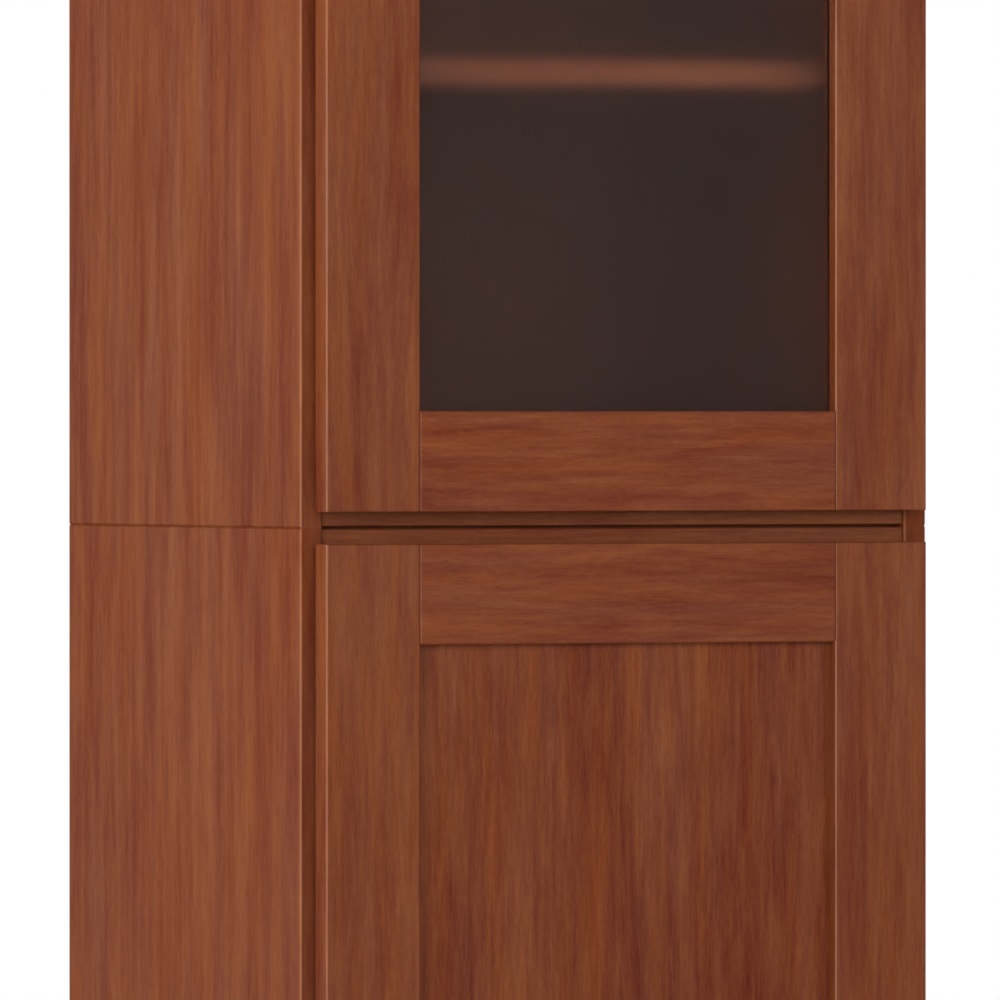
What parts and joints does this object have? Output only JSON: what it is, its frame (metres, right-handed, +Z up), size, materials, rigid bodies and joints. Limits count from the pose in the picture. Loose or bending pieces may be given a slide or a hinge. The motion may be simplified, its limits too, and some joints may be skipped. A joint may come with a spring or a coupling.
{
  "type": "mizuya kitchen cabinet",
  "caption": "Tall two-case kitchen cupboard with a frosted-glass upper door, a framed wood lower door, loose shelves and concealed hinges.",
  "frame": {"origin": "on the floor, at the middle of the overall width and depth, doors included", "axes": "+Z up, the doors face -Y, +X to the right of someone who faces the doors"},
  "size_m": [0.6, 0.48, 1.95],
  "materials": {
    "wood_case": "stained close-grained wood, satin lacquer",
    "wood_shelf": "stained wood, satin lacquer",
    "plywood_back": "stained plywood, matt",
    "wood_door": "stained solid wood, satin lacquer, eased edges",
    "wood_door_panel": "stained wood veneer, satin lacquer",
    "beech_joinery": "plain beech, unfinished",
    "frosted_glass": "acid-etched translucent glass",
    "hinge_nickel": "nickel-plated pressed and cast metal",
    "pin_steel": "bright steel",
    "catch_plastic": "dark brown moulded plastic",
    "glide_plastic": "dark hard plastic",
    "buffer_rubber": "soft translucent dark rubber"
  },
  "bodies": {
    "cabinet": {"lower_side_left": "wood_case", "lower_side_right": "wood_case", "upper_side_left": "wood_case", "upper_side_right": "wood_case", "lower_bottom_board": "wood_case", "lower_top_board": "wood_case", "upper_bottom_board": "wood_case", "upper_top_board": "wood_case", "toe_board": "wood_case", "lower_shelf": "wood_shelf", "upper_shelf_low": "wood_shelf", "upper_shelf_high": "wood_shelf", "lower_shelf_cleats": "wood_shelf", "upper_shelf_cleats": "wood_shelf", "lower_back_panel": "plywood_back", "upper_back_panel": "plywood_back", "lower_back_rail": "plywood_back", "upper_back_rails": "plywood_back", "seam_tenons": "beech_joinery", "lower_hinge_plates": "hinge_nickel", "upper_hinge_plates": "hinge_nickel", "lower_hinge_arm_low": "hinge_nickel", "lower_hinge_arm_high": "hinge_nickel", "upper_hinge_arm_low": "hinge_nickel", "upper_hinge_arm_middle": "hinge_nickel", "upper_hinge_arm_high": "hinge_nickel", "catch_magnets": "pin_steel", "catch_housings": "catch_plastic", "base_glides": "glide_plastic", "door_buffers": "buffer_rubber"},
    "upper_door": {"upper_door_stile_left": "wood_door", "upper_door_stile_right": "wood_door", "upper_door_rail_top": "wood_door", "upper_door_rail_bottom": "wood_door", "upper_door_glass": "frosted_glass", "upper_door_glass_beads": "wood_door", "upper_door_strike": "pin_steel", "upper_hinge_cups": "hinge_nickel", "upper_hinge_pins": "pin_steel"},
    "lower_door": {"lower_door_stile_left": "wood_door", "lower_door_stile_right": "wood_door", "lower_door_rail_top": "wood_door", "lower_door_rail_bottom": "wood_door", "lower_door_panel": "wood_door_panel", "lower_door_strike": "pin_steel", "lower_hinge_cups": "hinge_nickel", "lower_hinge_pins": "pin_steel"}
  },
  "joints": [
    {"name": "upper_door_hinge", "type": "hinge", "parent": "cabinet", "child": "upper_door", "pos_m": [0.2804, -0.226, 1.415], "axis": [0, 0, 1], "range_deg": [0, 95]},
    {"name": "lower_door_hinge", "type": "hinge", "parent": "cabinet", "child": "lower_door", "pos_m": [0.2804, -0.226, 0.4721], "axis": [0, 0, 1], "range_deg": [0, 95]}
  ]
}
